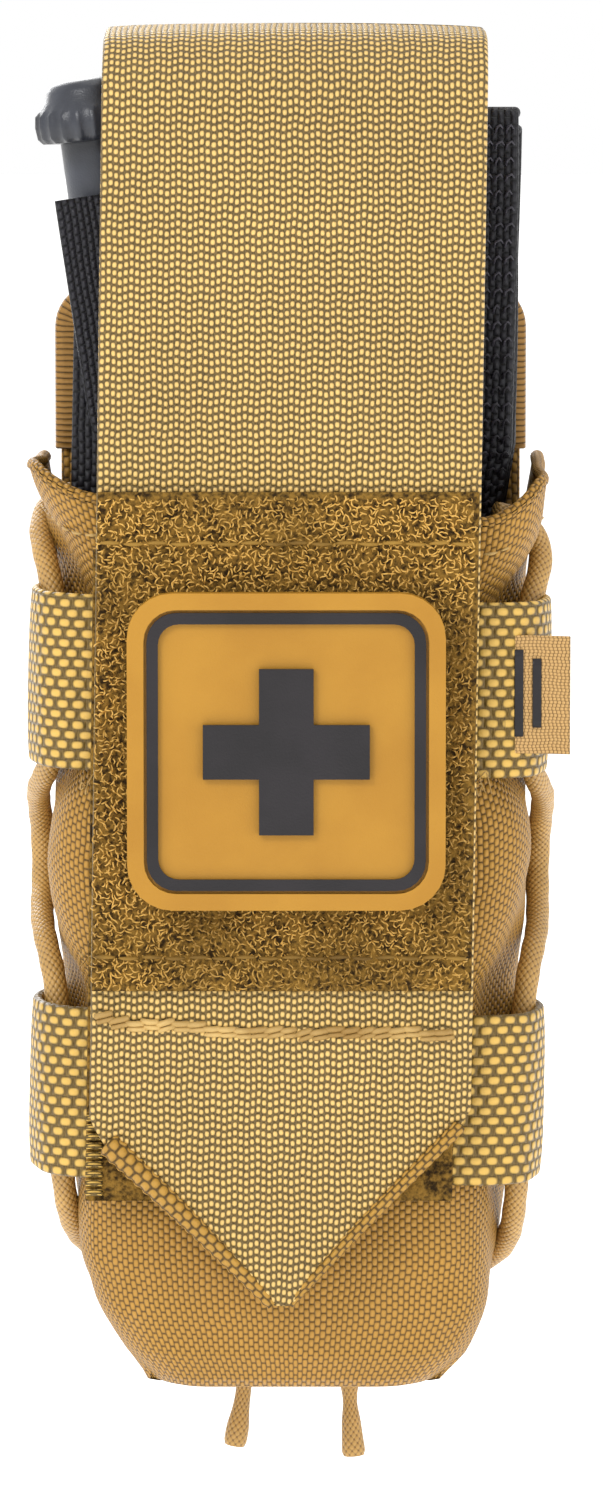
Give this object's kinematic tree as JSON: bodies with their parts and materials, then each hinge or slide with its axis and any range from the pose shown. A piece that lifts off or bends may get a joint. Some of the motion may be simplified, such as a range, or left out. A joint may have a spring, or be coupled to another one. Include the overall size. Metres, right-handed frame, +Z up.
{
  "type": "tourniquet in a laced belt pouch",
  "caption": "Folded windlass tourniquet stowed in a shock-corded belt pouch with a webbing flap, hook-and-loop patch and snap-closed belt straps.",
  "frame": {"origin": "on the flat rear face of the back panel, on the centre line, level with the middle of the belt", "axes": "+Z up, the way the tourniquet is drawn out; +Y out of the back, towards the wearer; +X to the right in a view of the front"},
  "size_m": [0.0732, 0.0621, 0.1914],
  "materials": {
    "coyote_webbing": "woven nylon webbing, slight sheen",
    "coyote_cordura": "plain-weave coated nylon, dull",
    "coyote_loop": "brushed loop pile, dull",
    "coyote_cord": "braided sheath over elastic",
    "patch_tan": "moulded soft rubber, semi-gloss",
    "patch_black": "moulded soft rubber, semi-gloss",
    "black_webbing": "woven nylon, dull",
    "black_plastic": "moulded, satin",
    "polymer_sheet": "flexible sheet, dull",
    "snap_metal": "blackened, satin"
  },
  "bodies": {
    "pouch": {"back_outer_sheet": "coyote_cordura", "back_stiffener": "polymer_sheet", "back_inner_sheet": "coyote_cordura", "back_edge_tape": "coyote_webbing", "pouch_shell": "coyote_cordura", "side_insert_left": "polymer_sheet", "side_insert_right": "polymer_sheet", "shock_cord_left": "coyote_cord", "shock_cord_right": "coyote_cord", "band_lower": "coyote_webbing", "band_upper": "coyote_webbing", "front_loop_field": "coyote_loop", "side_label": "coyote_webbing", "flap_riser": "coyote_webbing", "belt_strap_anchor_left": "coyote_webbing", "belt_strap_anchor_right": "coyote_webbing", "snap_stud_left": "snap_metal", "snap_stud_right": "snap_metal"},
    "flap_top": {"flap_top": "coyote_webbing"},
    "flap_front": {"flap_front": "coyote_webbing", "flap_hook_tape": "coyote_loop", "flap_loop_panel": "coyote_loop", "pull_tab": "coyote_webbing"},
    "patch": {"patch_hook_backing": "black_webbing", "patch_base": "patch_tan", "patch_border": "patch_black", "patch_emblem": "patch_black"},
    "belt_strap_left": {"belt_strap_left": "coyote_webbing", "snap_socket_left": "snap_metal", "snap_cap_left": "snap_metal"},
    "belt_strap_right": {"belt_strap_right": "coyote_webbing", "snap_socket_right": "snap_metal", "snap_cap_right": "snap_metal"},
    "tourniquet": {"tourniquet_band": "black_webbing", "tourniquet_woven_end": "black_webbing", "stabiliser_plate": "black_plastic", "windlass_clip": "black_plastic", "time_strap": "black_webbing", "pulling_ribbon": "black_webbing", "tourniquet_buckle": "black_plastic"},
    "windlass": {"windlass_rod": "black_plastic"}
  },
  "joints": [
    {"name": "flap_fold_back", "type": "hinge", "parent": "pouch", "child": "flap_top", "pos_m": [0, 0.0027, 0.078], "axis": [1, 0, 0], "range_deg": [-120, 0]},
    {"name": "flap_lift", "type": "hinge", "parent": "flap_top", "child": "flap_front", "pos_m": [0, -0.0473, 0.094], "axis": [1, 0, 0], "range_deg": [-165, 0]},
    {"name": "patch_peel", "type": "hinge", "parent": "flap_front", "child": "patch", "pos_m": [-0.0005, -0.0493, 0.0364], "axis": [1, 0, 0], "range_deg": [-60, 0]},
    {"name": "belt_strap_left_open", "type": "hinge", "parent": "pouch", "child": "belt_strap_left", "pos_m": [-0.0145, 0.0027, 0.0357], "axis": [1, 0, 0], "range_deg": [0, 100]},
    {"name": "belt_strap_right_open", "type": "hinge", "parent": "pouch", "child": "belt_strap_right", "pos_m": [0.0145, 0.0027, 0.0357], "axis": [1, 0, 0], "range_deg": [0, 100]},
    {"name": "tourniquet_draw", "type": "slide", "parent": "pouch", "child": "tourniquet", "axis": [0, 0, 1], "range_m": [0, 0.004]},
    {"name": "windlass_swing", "type": "hinge", "parent": "tourniquet", "child": "windlass", "pos_m": [-0.0181, -0.031, 0.0395], "axis": [0, 1, 0], "range_deg": [-2, 2]}
  ]
}
